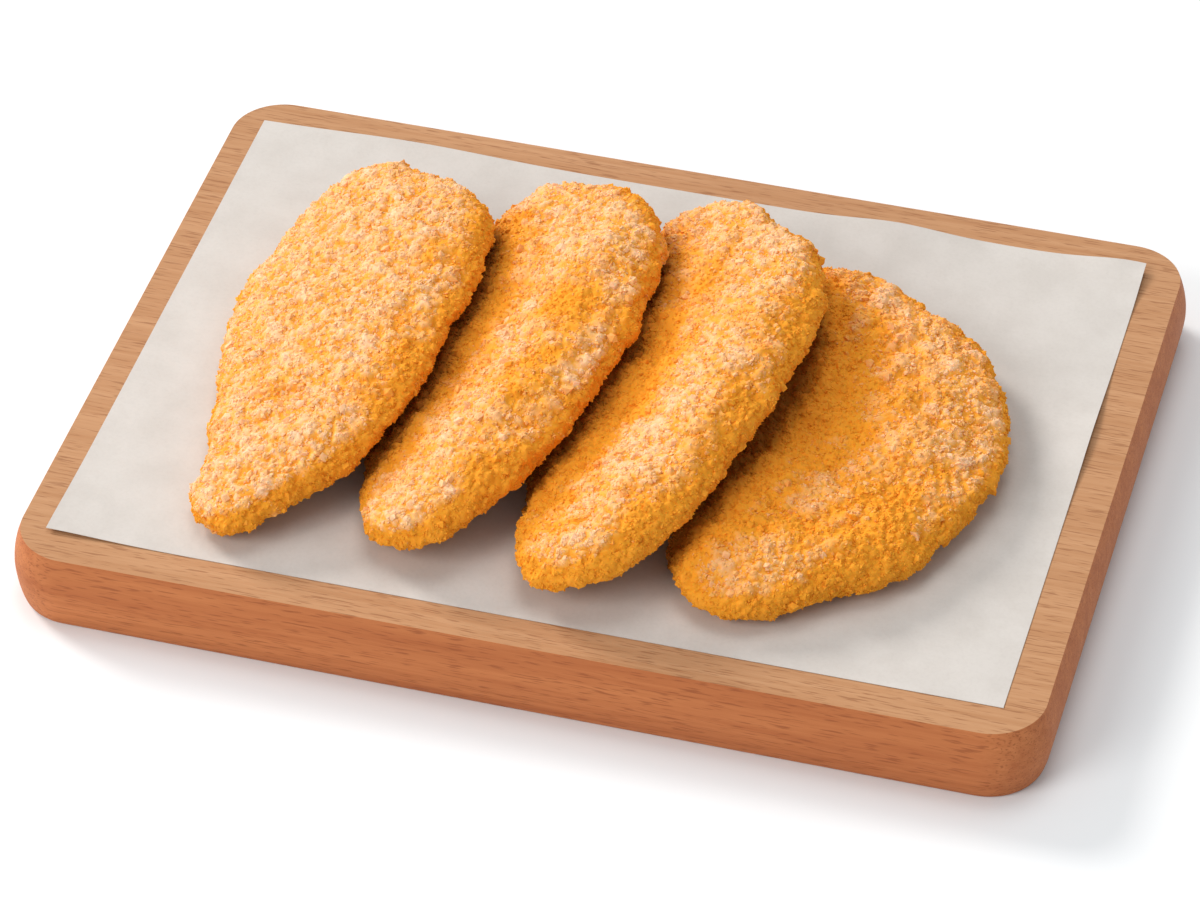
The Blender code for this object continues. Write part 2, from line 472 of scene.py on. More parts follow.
@dataclass(frozen=True)
class BeechFinish:
    """Sanded and oiled beech, with fine streaks and short dark flecks."""

    cut: Cut = Cut.FACE
    light: Colour = (0.545, 0.285, 0.140)
    dark: Colour = (0.44, 0.205, 0.088)
    fleck: Colour = (0.29, 0.115, 0.045)
    roughness: float = 0.62
    specular: float = 0.25

    def material(self) -> Material:
        """Build the wood's material, its grain running along X.

        Returns:
            The material.
        """
        bench = Bench(self.cut.value, self.roughness, self.specular)
        band = bench.noise(bench.place((2.0, 40.0, 40.0)), 3.0, 3.0, 0.55, 0.4)
        streak = bench.noise(bench.place((14.0, 520.0, 520.0)), 1.0, 4.0, 0.65, 0.2)
        shares = ((band, 0.45), (streak, 0.55))
        grain = bench.math("ADD", *(bench.math("MULTIPLY", *pair) for pair in shares))
        colour = bench.blend(bench.remap(grain, 0.36, 0.64), self.dark, self.light)
        ray = bench.noise(bench.place((150.0, 2100.0, 2100.0)), 1.0, 1.0, 0.4)
        flecks = bench.remap(ray, 0.57, 0.70, 0.0, 0.70)
        colour = bench.blend(flecks, colour, self.fleck)
        bench.feed(bench.shader.inputs["Base Color"], colour)
        bench.bump(bench.math("SUBTRACT", streak, flecks), 0.12 * MM, 0.35)
        return bench.material


@dataclass(frozen=True)
class FloorFinish:
    """A plain pale studio floor."""

    name: str = "pale_floor"
    colour: Colour = (0.90, 0.90, 0.90)
    roughness: float = 0.9

    def material(self) -> Material:
        """Build the floor's plain material.

        Returns:
            The material.
        """
        bench = Bench(self.name, self.roughness)
        bench.feed(bench.shader.inputs["Base Color"], self.colour)
        return bench.material


# ---- board


@dataclass
class Board:
    """The rounded beech board with its swelling side walls."""

    node: str = "board"
    corner_radius: float = 19.5 * MM
    swell: float = 2.5 * MM
    tuck_power: float = 1.45
    corner_steps: int = 20
    wall_steps: int = 28
    sharp: float = 40

    def inset(self, share: float) -> float:
        """Work out how far the wall lies inside its widest line.

        Args:
            share: Height as a share of the thickness.

        Returns:
            The inset in metres.
        """
        from_middle = abs(2 * share - 1)
        if share >= 0.5:
            return self.swell * from_middle ** 2
        return self.swell * (1 - (1 - from_middle ** self.tuck_power) ** (1 / self.tuck_power))

    def loop(self, length: float, width: float, radius: float, z: float) -> list[tuple]:
        """Walk once round a rounded rectangle.

        Args:
            length: Its size along X.
            width: Its size along Y.
            radius: The radius of its corners.
            z: Its height.

        Returns:
            The points of the loop.
        """
        points = []
        for corner, (sx, sy) in enumerate(((1, 1), (-1, 1), (-1, -1), (1, -1))):
            for step in range(self.corner_steps + 1):
                angle = math.radians(90 * (corner + step / self.corner_steps))
                x = sx * (length / 2 - radius) + radius * math.cos(angle)
                y = sy * (width / 2 - radius) + radius * math.sin(angle)
                points.append((x, y, z))
        return points

    def build(self) -> Object:
        """Build the board in the CAD board's own box.

        Returns:
            The finished board.
        """
        low, high = (Vector(corner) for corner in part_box(self.node))
        size = high - low
        middle = (low + high) / 2
        points, faces = [], []
        count = 4 * (self.corner_steps + 1)
        for step in range(self.wall_steps + 1):
            share = 0.5 - 0.5 * math.cos(math.pi * step / self.wall_steps)
            inset = self.inset(share)
            points += self.loop(
                size.x - 2 * inset, size.y - 2 * inset, self.corner_radius - inset,
                low.z + share * size.z,
            )
        for a in range(0, self.wall_steps * count, count):
            for i in range(count):
                j, b = (i + 1) % count, a + count
                faces.append((a + i, a + j, b + j, b + i))
        faces.append(tuple(reversed(range(count))))
        faces.append(tuple(range(self.wall_steps * count, (self.wall_steps + 1) * count)))
        mesh = bpy.data.meshes.new("beech_board")
        mesh.from_pydata([(x + middle.x, y + middle.y, z) for x, y, z in points], [], faces)
        mesh.shade_smooth()
        mesh.set_sharp_from_angle(angle=math.radians(self.sharp))
        piece = link("beech_board", mesh)
        mesh.materials.append(BeechFinish(Cut.FACE).material())
        mesh.materials.append(
            BeechFinish(
                Cut.SIDE, light=(0.56, 0.19, 0.062), dark=(0.43, 0.122, 0.036),
                fleck=(0.29, 0.075, 0.022),
            ).material()
        )
        side = np.ones(len(faces), np.int32)
        side[-1] = 0
        mesh.polygons.foreach_set("material_index", side)
        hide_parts(self.node)
        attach(piece, ROOT)
        return piece


# ---- paper


@dataclass(frozen=True)
class Lift:
    """A place where the sheet stands clear of the board."""

    x: float
    y: float
    height: float
    spread: float


@dataclass
class BakingPaper:
    """The sheet of baking paper, flat under the food and lifted at its edges."""

    node: str = "paper"
    length: float = 294 * MM
    width: float = 212 * MM
    middle: tuple[float, float] = (-1.5 * MM, 0.5 * MM)
    thick: float = 0.15 * MM
    columns: int = 88
    rows: int = 64
    flat_within: float = 22 * MM
    settle: float = 0.38 * MM
    sharp: float = 60
    lifts: tuple[Lift, ...] = (
        Lift(-148 * MM, -106 * MM, 1.2 * MM, 22 * MM),
        Lift(142 * MM, 110 * MM, 2.6 * MM, 17 * MM),
        Lift(66 * MM, 109 * MM, 2.0 * MM, 18 * MM),
        Lift(-95 * MM, 108 * MM, 1.6 * MM, 34 * MM),
        Lift(148 * MM, 20 * MM, 1.4 * MM, 22 * MM),
    )

    def rise(self, x: Array, y: Array) -> Array:
        """Work out how far the sheet stands above its flat lie.

        Args:
            x: Places along the sheet.
            y: Places across the sheet.

        Returns:
            The lift at each place.
        """
        lift = np.zeros_like(x)
        for place in self.lifts:
            away = np.hypot(x - place.x, y - place.y) / place.spread
            lift += place.height * np.exp(-away * away)
        inside = np.minimum(self.length / 2 - np.abs(x), self.width / 2 - np.abs(y))
        near_edge = np.clip(1 - inside / self.flat_within, 0, None)
        return lift * near_edge ** 1.5 - self.settle * near_edge ** 2 * (3 - 2 * near_edge)

    def build(self) -> Object:
        """Build the sheet as a thin closed skin.

        Returns:
            The finished paper.
        """
        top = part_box(self.node)[0][2] + PAPER_LIE
        u = np.linspace(-0.5, 0.5, self.columns + 1) * self.length
        v = np.linspace(-0.5, 0.5, self.rows + 1) * self.width
        y, x = np.meshgrid(v, u, indexing="ij")
        x, y = x.ravel(), y.ravel()
        z = top + self.rise(x, y)
        upper = np.column_stack((x + self.middle[0], y + self.middle[1], z))
        lower = upper - np.array((0, 0, self.thick))
        grid = np.arange(len(upper)).reshape(self.rows + 1, self.columns + 1)
        a, b = grid[:-1, :-1].ravel(), grid[1:, :-1].ravel()
        face = np.concatenate((np.column_stack((a, a + 1, b + 1)), np.column_stack((a, b + 1, b))))
        rim = np.concatenate((grid[0, :-1], grid[:-1, -1], grid[-1, :0:-1], grid[:0:-1, 0]))
        after, under = np.roll(rim, -1), grid.size
        lower_rim = (rim + under, after + under, after), (rim + under, after, rim)
        edge = np.concatenate([np.column_stack(corners) for corners in lower_rim])
        piece = make_piece(
            "baking_paper",
            np.concatenate((upper, lower)),
            np.concatenate((face, face[:, ::-1] + under, edge)),
        )
        piece.data.set_sharp_from_angle(angle=math.radians(self.sharp))
        piece.data.materials.append(PaperFinish().material())
        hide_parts(self.node)
        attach(piece, ROOT)
        return piece


# ---- schnitzels


@dataclass(frozen=True)
class Spot:
    """A place on a schnitzel's upper side where something swells, sinks, browns or takes painted
    shadow.

    The amount is in mm for a swelling and, for a toast spot, a share of browning mixed with painted
    shadow. The rest is in mm and degrees.
    """

    amount: float
    x: float
    y: float
    across: float
    along: float
    turn: float = 0.0

    def read(self, x: Array, y: Array) -> Array:
        """Measure the spot at each place.

        Args:
            x: Places across the schnitzel, in metres.
            y: Places along it, in metres.

        Returns:
            The amount at each place.
        """
        angle = math.radians(self.turn)
        dx, dy = x / MM - self.x, y / MM - self.y
        u = (dx * math.cos(angle) + dy * math.sin(angle)) / self.across
        v = (dy * math.cos(angle) - dx * math.sin(angle)) / self.along
        return self.amount * np.exp(-0.5 * (u * u + v * v))


@dataclass(frozen=True)
class Crumbing:
    """How crumbs build up the crust: three sizes of lump over a slightly uneven base."""

    clumps: Granules = Granules(4.6 * MM, 1.25 * MM, 0.50, 0.40, 0.80, 11)
    crumbs: Granules = Granules(2.1 * MM, 1.05 * MM, 0.75, 0.45, 0.80, 23)
    grit: Granules = Granules(1.25 * MM, 0.42 * MM, 0.90, 0.55, 0.90, 37)
    uneven: float = 1.05 * MM
    uneven_size: float = 13 * MM
    lumpy: float = 0.95 * MM
    lumpy_size: float = 5.5 * MM
    billow: float = 0.45 * MM
    billow_size: float = 1.5 * MM
    warp: float = 0.60 * MM
    warp_size: float = 1.5 * MM

    def read(self, points: Array) -> tuple[Array, Array, Array]:
        """Work out the crust's height over the smooth slab.

        Args:
            points: Places on the slab, shape (n, 3).

        Returns:
            The height in metres, the crumbs' share of it from 0 to 1, and each crumb's own
            number from 0 to 1.
        """
        pull = np.stack([soft_noise(points, self.warp_size, 50 + i) for i in range(3)], axis=1)
        bent = points + self.warp * pull
        clump, _ = self.clumps.read(bent)
        crumb, owner = self.crumbs.read(bent)
        grit, _ = self.grit.read(bent)
        uneven = self.uneven * soft_noise(points, self.uneven_size, 71)
        uneven += self.lumpy * soft_noise(points, self.lumpy_size, 72)
        billow = self.billow * np.abs(soft_noise(bent, self.billow_size, 73))
        lumps = np.maximum(clump, 0.6 * crumb) + 0.6 * crumb + 0.8 * grit + billow
        return lumps + uneven, lumps / (self.clumps.height + self.crumbs.height), owner


@dataclass
class Schnitzel:
    """One crumbed schnitzel: an oval slab with rounded edges, leant on its neighbour."""

    node: str
    length: float
    width: float
    front_thick: float
    back_thick: float
    nose: float
    heel: float
    outline: tuple[float, ...]
    turn: float
    lean: float
    rise: float
    relief: tuple[Spot, ...]
    toasted: tuple[Spot, ...]
    seed: int
    base_toast: float = -0.04
    edge_level: float = 0.42
    crown_power: float = 2.8
    crown_root: float = 2.2
    base_power: float = 4.5
    fade_power: int = 6
    sunk: float = 1.25 * MM
    tuck_reach: float = 12 * MM
    crevice_shade_depth: float = 0.85
    tuck_toast: float = 1.5
    close_blur: float = 2.6
    wide_blur: float = 9.0
    clouds: tuple[tuple[float, float, int], ...] = ((16 * MM, 0.216, 91), (6.5 * MM, 0.36, 92))
    steep: float = 0.93
    steep_range: float = 0.55
    apart: float = 731 * MM
    fine_step: float = 0.55 * MM
    base_step: float = 1.2 * MM
    front: float = 0.0
    back: float = 0.0
    local: Array | None = None
    points: Array | None = None
    triangles: Array | None = None
    marks: dict[str, Array] = field(default_factory=dict)

    def edge(self, angles: Array) -> Array:
        """Trace the outline: a plain oval, moved in or out along its normal.

        Args:
            angles: Turns round the oval, in radians.

        Returns:
            Points of the outline in metres, shape (n, 2).
        """
        half_width, half_length = self.width * MM / 2, self.length * MM / 2
        waves = np.fft.rfft(np.array(self.outline) * MM) / len(self.outline)
        weights = np.full(len(waves), 2.0)
        weights[0] = weights[-1] = 1.0
        turns = np.exp(1j * np.outer(np.arange(len(waves)), angles))
        out = (weights[:, None] * (waves[:, None] * turns).real).sum(axis=0)
        normal = np.column_stack((np.cos(angles) / half_width, np.sin(angles) / half_length))
        normal /= np.linalg.norm(normal, axis=1, keepdims=True)
        oval = np.column_stack((half_width * np.cos(angles), half_length * np.sin(angles)))
        return oval + out[:, None] * normal

    def height(self, x: Array, y: Array, share: Array, upper: bool) -> Array:
        """Work out the height of the upper or lower side of the slab.

        Args:
            x: Places across.
            y: Places along.
            share: How far out each place lies, from 0 on the spine to 1 on the edge.
            upper: Whether to read the upper side.

        Returns:
            Heights above the slab's own flat base.
        """
        along = np.clip((y - self.front) / (self.back - self.front), 0, 1)
        thick = (self.front_thick + (self.back_thick - self.front_thick) * along) * MM
        edge_z = self.edge_level * thick
        if not upper:
            return edge_z * (1 - np.sqrt(np.clip(1 - share ** self.base_power, 0, None)))
        crown = np.clip(1 - share ** self.crown_power, 0, None) ** (1 / self.crown_root)
        swell = MM * sum(spot.read(x, y) for spot in self.relief)
        return edge_z + (thick - edge_z) * crown + swell * (1 - share ** self.fade_power)

    def ring_shares(self, upper: bool, step: float) -> Array:
        """Choose rings that are evenly spaced over the slab's profile.

        Args:
            upper: Whether the rings are on the upper side.
            step: The spacing, in metres.

        Returns:
            Shares from 1 at the edge down to 0 on the spine.
        """
        share = np.linspace(0, 1, 4001)[::-1]
        middle = np.full_like(share, (self.front + self.back) / 2)
        rise = self.height(np.zeros_like(share), middle, share, upper)
        run = np.hypot(np.diff(share) * self.width * MM / 2, np.diff(rise)).cumsum()
        run = np.concatenate(((0.0,), run))
        count = max(6, round(run[-1] / step))
        return np.interp(np.linspace(0, run[-1], count + 1), run, share)

    def lie(self) -> None:
        """Build the smooth slab, lying level, from rings of evenly spaced points."""
        turns = np.linspace(0, 1, 2881)
        rim = self.edge(2 * math.pi * (turns - 0.25))
        self.front, self.back = rim[:, 1].min(), rim[:, 1].max()
        spine_y = np.clip(rim[:, 1], self.front + self.nose * MM, self.back - self.heel * MM)
        spine = np.column_stack((np.zeros(len(rim)), spine_y))
        points, rings, bands = [], [], []
        for upper, step in ((True, self.fine_step), (False, self.base_step)):
            shares = self.ring_shares(upper, step)
            outer = None if upper else rings[0]
            for number, share in enumerate(shares if upper else shares[1:]):
                if share < TINY:
                    where, xy = self.spine_ring(spine_y, turns, step)
                else:
                    ring = spine + share * (rim - spine)
                    run = np.hypot(*np.diff(ring, axis=0).T).cumsum()
                    run = np.concatenate(((0.0,), run))
                    gap = step if upper else min(step, self.fine_step * (1 + 0.08 * number))
                    even = np.arange(max(24, round(run[-1] / gap))) * gap
                    even = even * (run[-1] / (len(even) * gap))
                    where = np.interp(even, run, turns)
                    xy = np.column_stack([np.interp(even, run, ring[:, axis]) for axis in (0, 1)])
                z = self.height(xy[:, 0], xy[:, 1], np.full(len(xy), share), upper)
                points.append(np.column_stack((xy, z)))
                start = rings[-1].start + len(rings[-1].turns) if rings else 0
                rings.append(Ring(start, where, share))
                if outer:
                    band = zip_rings(outer, rings[-1])
                    bands.append(band if upper else band[:, ::-1])
                outer = rings[-1]
        self.close(np.concatenate(points), np.concatenate(bands), rings)

    def spine_ring(self, spine_y: Array, turns: Array, gap: float) -> tuple[Array, Array]:
        """Make the innermost ring, which runs up the spine and back down it.

        Args:
            spine_y: Where each outline point's foot lies on the spine.
            turns: How far round each outline point lies, from 0 to 1.
            gap: Spacing of the ring's points.

        Returns:
            How far round each point lies, and the points themselves.
        """
        low, high = spine_y.min(), spine_y.max()
        level = np.linspace(low, high, max(4, round((high - low) / gap)) + 1)
        half = len(spine_y) // 2
        up = np.maximum.accumulate(spine_y[: half + 1])
        down = np.minimum.accumulate(spine_y[half:])
        new_up = np.concatenate(((True,), np.diff(up) > 0))
        new_down = np.concatenate(((True,), np.diff(down) < 0))
        going = np.interp(level, up[new_up], turns[: half + 1][new_up])
        coming = np.interp(-level[::-1], -down[new_down], turns[half:][new_down])
        y = np.concatenate((level, level[::-1]))
        return np.concatenate((going, coming)), np.column_stack((np.zeros(len(y)), y))

    def close(self, points: Array, triangles: Array, rings: list[Ring]) -> None:
        """Join the two passes of each spine ring, and keep the closed skin.

        Args:
            points: Vertex places.
            triangles: Vertex numbers.
            rings: All the rings.
        """
        same = np.arange(len(points))
        for ring in rings:
            if ring.share < TINY:
                count = len(ring.turns)
                back = np.arange(count // 2, count)
                same[ring.start + back] = ring.start + count - 1 - back
        triangles = same[triangles]
        a, b, c = triangles.T
        triangles = triangles[(a != b) & (b != c) & (c != a)]
        used, numbers = np.unique(triangles, return_inverse=True)
        self.local, self.triangles = points[used], numbers.reshape(-1, 3)

    def place(self, points: Array) -> Array:
        """Lean and turn points of the slab, without moving it to its place.

        Args:
            points: Points of the level slab.

        Returns:
            The leant and turned points.
        """
        lean = Euler((math.radians(self.rise), -math.radians(self.lean), 0), "YXZ").to_matrix()
        turn = Euler((0, 0, math.radians(self.turn))).to_matrix()
        return points @ np.array(turn @ lean).T

    def crumb(self, crumbing: Crumbing, floor: float) -> None:
        """Cover the slab with crumbs and let it down to its place on the board.

        Args:
            crumbing: The crumbs to use.
            floor: Height of the paper, which crumbs don't reach through.
        """
        normals = vertex_normals(self.local, self.triangles)
        own = self.local + np.array((0.0, 0.0, self.apart)) * self.seed
        height, lump, owner = crumbing.read(own)
        smooth = self.place(self.local)
        low, high = (np.array(corner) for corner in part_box(self.node))
        least, most = smooth.min(axis=0), smooth.max(axis=0)
        shift = (low + high - least - most) / 2
        shift[2] = low[2] - least[2]
        rough = self.place(self.local + normals * (height - self.sunk)[:, None]) + shift
        rough[:, 2] = np.maximum(rough[:, 2], floor + CRUMB_GAP)
        self.points = rough
        x, y = self.local[:, 0], self.local[:, 1]
        # The toast mark mixes browning with painted shadow: some spots lie where the schnitzel above
        # casts its shade.
        toast = sum(spot.read(x, y) for spot in self.toasted)
        # Steep sides get more toast: browned edges, and painted shade on sides turned from the
        # light.
        toast += np.clip((self.steep - normals[:, 2]) / self.steep_range, 0, 1)
        for size, share, seed in self.clouds:
            toast += share * soft_noise(own, size, seed)
        self.marks = {
            "crumb_height": lump,
            "crumb_shade": owner,
            "toast": np.clip(toast + self.base_toast, 0, 1),
            "painted_crevice_shade": np.zeros(len(rough)),
        }

    def paint_crevice_shade(self, above: "Schnitzel") -> None:
        """Paint shade on the crust that lies under or beside the edge of the schnitzel above.

        Args:
            above: The schnitzel whose edge lies over this one.
        """
        low = self.points[:, :2].min(axis=0) - self.tuck_reach
        size = np.ceil((self.points[:, :2].max(axis=0) + self.tuck_reach - low) / MM).astype(int)
        cells = np.floor((above.points[:, :2] - low) / MM).astype(int)
        cells = cells[((cells >= 0) & (cells < size)).all(axis=1)]
        cover = np.zeros(size)
        cover[cells[:, 0], cells[:, 1]] = 1
        own = np.floor((self.points[:, :2] - low) / MM).astype(int)
        close, wide = (
            blur(cover, spread)[own[:, 0], own[:, 1]] for spread in (self.close_blur, self.wide_blur)
        )
        # Painted shade close under the edge above, and painted shadow as extra toast in a wider band
        # round it.
        self.marks["painted_crevice_shade"] = np.clip(self.crevice_shade_depth * (close + 0.5 * wide), 0, 1)
        self.marks["toast"] = np.clip(self.marks["toast"] + self.tuck_toast * wide, 0, 1)

    def build(self, finish: Material) -> Object:
        """Build the crumbed schnitzel in the space of its CAD body.

        Args:
            finish: The crust's material.

        Returns:
            The finished schnitzel.
        """
        piece = make_piece("crumbed_" + self.node, self.points, self.triangles)
        for name, values in self.marks.items():
            paint(piece, name, values)
        piece.data.materials.append(finish)
        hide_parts(self.node)
        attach(piece, ROOT)
        return piece


def make_schnitzels() -> list[Schnitzel]:
    """List the four schnitzels, from the one that lies flat to the uppermost."""
    # Painted shadow: the toast spots in the left valleys of schnitzel_2 and schnitzel_3 and in the
    # hollow of schnitzel_4 stand for the shade of the schnitzel above, and schnitzel_4's high base
    # toast is partly painted shade.
    return [
        Schnitzel(
            "schnitzel_4", 146, 94, 17, 19, 34, 34, (2, 1, -3, 2, 13, 0, 0, 0, 15, 3, -3, -1),
            turn=1, lean=0.0, rise=0.0, seed=4, base_toast=0.24, crevice_shade_depth=0.6,
            relief=(
                Spot(-3.6, -9, -6, 16, 25, 12), Spot(1.4, 4, -58, 30, 6, 4),
                Spot(1.0, 30, 10, 8, 26), Spot(1.2, 15, 8, 5, 16, 14),
                Spot(-1.0, 24, -24, 6, 12, -20), Spot(0.9, 6, -36, 14, 5, -10),
                Spot(-0.9, 12, 42, 10, 5, 20), Spot(0.9, 34, -48, 6, 5),
            ),
            toasted=(
                Spot(0.45, 5, -50, 34, 9), Spot(0.5, -10, 0, 20, 42, -8), Spot(0.3, 26, -26, 10, 14),
            ),
        ),
        Schnitzel(
            "schnitzel_3", 176, 78, 16, 22, 20, 34, (0, 2, -3, 0, 14, 1, 0, -3, 1, 1, 0, -2),
            turn=-6, lean=21.0, rise=1.5, seed=3, base_toast=-0.09,
            relief=(
                Spot(2.6, 25, -2, 7, 42, -7), Spot(-3.2, -5, -10, 7, 42, -5),
                Spot(-2.5, -11, 70, 4, 5), Spot(-0.9, 19, -40, 5, 7),
                Spot(0.9, 24, 30, 5, 9, -20), Spot(-0.8, 27, 12, 8, 3, 15),
                Spot(0.8, 8, -62, 9, 6), Spot(-0.7, 14, 40, 9, 4, 20),
            ),
            toasted=(
                Spot(0.5, 31, -10, 7, 46, -7), Spot(0.95, -6.5, -14, 10, 50, -5),
                Spot(0.35, 22, 22, 6, 6), Spot(0.3, 12, -66, 16, 9), Spot(-0.2, 17, -38, 7, 10),
            ),
        ),
        Schnitzel(
            "schnitzel_2", 172, 78, 16, 22, 20, 34, (-1, 2, -1, -5, 3, 1, 0, -3, 0, 1, -3, -3),
            turn=-5, lean=19.4, rise=2.2, seed=2, base_toast=-0.09, crevice_shade_depth=1.15,
            relief=(
                Spot(2.6, 19, -8, 7, 44, -5), Spot(-2.8, -7, -6, 7, 44, -5),
                Spot(0.9, 20, 34, 6, 7), Spot(-0.9, 20, 20, 9, 4, 10),
                Spot(0.8, 18, -30, 5, 8, -8), Spot(-0.8, 19, -14, 8, 3, -15),
                Spot(1.1, 15, 68, 7, 5),
            ),
            toasted=(
                Spot(0.65, 21, -22, 7, 36, -5), Spot(0.6, -16, -5, 13, 52, -5),
                Spot(0.55, 19, 12, 5, 8), Spot(0.4, 17, 69, 8, 6),
            ),
        ),
        Schnitzel(
            "schnitzel_1", 174, 81, 15, 21, 20, 34, (-2, 3, -5, -8, 2, 2, -2, -8, 1, -3, -7, -2),
            turn=-2, lean=18.0, rise=3.0, seed=1,
            relief=(
                Spot(-1.7, 0, -35, 15, 3.0, 2), Spot(1.2, 8, 14, 20, 30),
                Spot(-1.0, -1, -74, 5, 4), Spot(1.2, -18, 73, 6, 4, 10),
                Spot(-0.8, 14, 38, 10, 5, 25), Spot(0.9, 20, -52, 6, 8),
                Spot(-0.8, -16, 2, 5, 12, 10),
            ),
            toasted=(
                Spot(0.6, 32, -8, 8, 40), Spot(0.6, -19, 76, 7, 5), Spot(0.25, 2, -35, 16, 4, 2),
            ),
        ),
    ]


# ---- loose crumbs


class Grain(Enum):
    """The plain solid that a crumb is roughened from."""

    EIGHT_SIDED = 8
    TWENTY_SIDED = 20

    def corners(self) -> Array:
        """List the solid's corners, each one unit from the middle.

        Returns:
            The corners, shape (n, 3).
        """
        if self is Grain.EIGHT_SIDED:
            return np.concatenate((np.eye(3), -np.eye(3)))
        golden = (1 + math.sqrt(5)) / 2
        corners = []
        for a in (-1, 1):
            for b in (-golden, golden):
                corners += [(0, a, b), (a, b, 0), (b, 0, a)]
        return np.array(corners) / math.hypot(1, golden)

    def faces(self) -> Array:
        """List the solid's triangles, which join neighbouring corners.

        Returns:
            Numbers of their corners, shape (m, 3).
        """
        corners = self.corners()
        apart = np.linalg.norm(corners[:, None] - corners[None], axis=2)
        near = apart < apart[apart > 0].min() * 1.01
        faces = []
        for i, j, k in combinations(range(len(corners)), 3):
            if near[i, j] and near[j, k] and near[i, k]:
                out = np.cross(corners[j] - corners[i], corners[k] - corners[i])
                faces.append((i, j, k) if out @ corners[i] > 0 else (i, k, j))
        return np.array(faces)


@dataclass
class LooseCrumbs:
    """Crumbs of one size that stand out of the crust of all the schnitzels."""

    name: str
    grain: Grain
    count: int
    least: float
    most: float
    sunk: float
    seed: int
    roughness: float = 0.30
    height: tuple[float, float] = (0.45, 0.95)
    crust_lift: float = 0.15
    flattest: float = 0.62
    size_skew: float = 1.6
    toast_spread: float = 0.12
    least_cover: float = 0.04

    def scatter(
        self, schnitzels: list[Schnitzel], dice: np.random.Generator
    ) -> tuple[Array, Array, dict[str, Array]]:
        """Choose places for the crumbs, mostly where the crust can be seen.

        Args:
            schnitzels: The schnitzels to cover.
            dice: The source of random numbers.

        Returns:
            The crumbs' places, their outward directions and the marks of the crust there.
        """
        corners, outward, weight = [], [], []
        # Crumbs copy the crust's marks under them, painted shade and shadow among them.
        marks = {"crumb_height": [], "toast": [], "painted_crevice_shade": []}
        for schnitzel in schnitzels:
            at = schnitzel.points[schnitzel.triangles]
            facing = np.cross(at[:, 1] - at[:, 0], at[:, 2] - at[:, 0])
            smooth = vertex_normals(schnitzel.points, schnitzel.triangles)
            out = smooth[schnitzel.triangles].mean(axis=1)
            shown = np.clip((out[:, 2] + 0.85) / 0.5, self.least_cover, 1)
            corners.append(at)
            outward.append(out)
            for name, values in marks.items():
                values.append(schnitzel.marks[name][schnitzel.triangles[:, 0]])
            weight.append(np.linalg.norm(facing, axis=1) * shown)
        weight = np.concatenate(weight)
        chosen = dice.choice(len(weight), self.count, p=weight / weight.sum())
        share = dice.dirichlet((1, 1, 1), self.count)
        places = (np.concatenate(corners)[chosen] * share[:, :, None]).sum(axis=1)
        found = {name: np.concatenate(values)[chosen] for name, values in marks.items()}
        return places, np.concatenate(outward)[chosen], found

    def shapes(self, corners: Array, dice: np.random.Generator) -> Array:
        """Roughen, squash and spin one plain grain for each crumb.

        Args:
            corners: The plain grain's corners.
            dice: The source of random numbers.

        Returns:
            Corners of every crumb, about one unit from its middle, shape (n, corners, 3).
        """
        jitter = 1 + dice.uniform(-self.roughness, self.roughness, (self.count, len(corners), 1))
        squash = dice.uniform(self.flattest, 1.0, (self.count, 1, 3))
        spin = dice.normal(size=(self.count, 4))
        spin = (spin / np.linalg.norm(spin, axis=1, keepdims=True))[:, None, :]
        turned, axis = corners * jitter * squash, spin[..., 1:]
        return turned + 2 * np.cross(axis, np.cross(axis, turned) + spin[..., :1] * turned)

    def build(
        self, schnitzels: list[Schnitzel], finish: Material, floor: float
    ) -> Object:
        """Build the crumbs as one joined mesh.

        Args:
            schnitzels: The schnitzels they stand on.
            finish: The crust's material.
            floor: Height of the paper, which no crumb reaches through.

        Returns:
            The finished crumbs.
        """
        dice = np.random.default_rng(self.seed)
        places, outward, marks = self.scatter(schnitzels, dice)
        corners, faces = self.grain.corners(), self.grain.faces()
        radius = self.least + (self.most - self.least) * dice.random(self.count) ** self.size_skew
        shapes = self.shapes(corners, dice) * radius[:, None, None]
        middle = places + outward * (radius * (1 - 2 * self.sunk))[:, None]
        points = shapes + middle[:, None, :]
        low = points[:, :, 2].min(axis=1)
        points[:, :, 2] += np.maximum(floor + CRUMB_GAP - low, 0)[:, None]
        first = len(corners) * np.arange(self.count)
        triangles = (faces[None] + first[:, None, None]).reshape(-1, 3)
        # Each crumb is paler on its outward side and deeper towards the crust: partly its own
        # colour, partly painted shade.
        outness = (shapes * outward[:, None, :]).sum(axis=2) / radius[:, None]
        height = np.interp(outness, (-1, 1), self.height)
        height = (height + (self.crust_lift + marks["crumb_height"])[:, None]) / 2
        piece = make_piece(self.name, points.reshape(-1, 3), triangles)
        piece.data.shade_flat()
        # Each crumb takes the toast and painted shade of the crust under it, varied a little.
        own_toast = np.clip(marks["toast"] + dice.normal(0, self.toast_spread, self.count), 0, 1)
        paint(piece, "crumb_height", height.ravel())
        marks.update(crumb_shade=dice.random(self.count), toast=own_toast)
        for name in ("crumb_shade", "toast", "painted_crevice_shade"):
            paint(piece, name, np.repeat(marks[name], len(corners)))
        piece.data.materials.append(finish)
        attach(piece, ROOT)
        return piece


# ---- studio


class Glow(Enum):
    """How a lamp gives its light: from a near disc, or evenly from far away."""

    DISC = "AREA"
    FAR = "SUN"


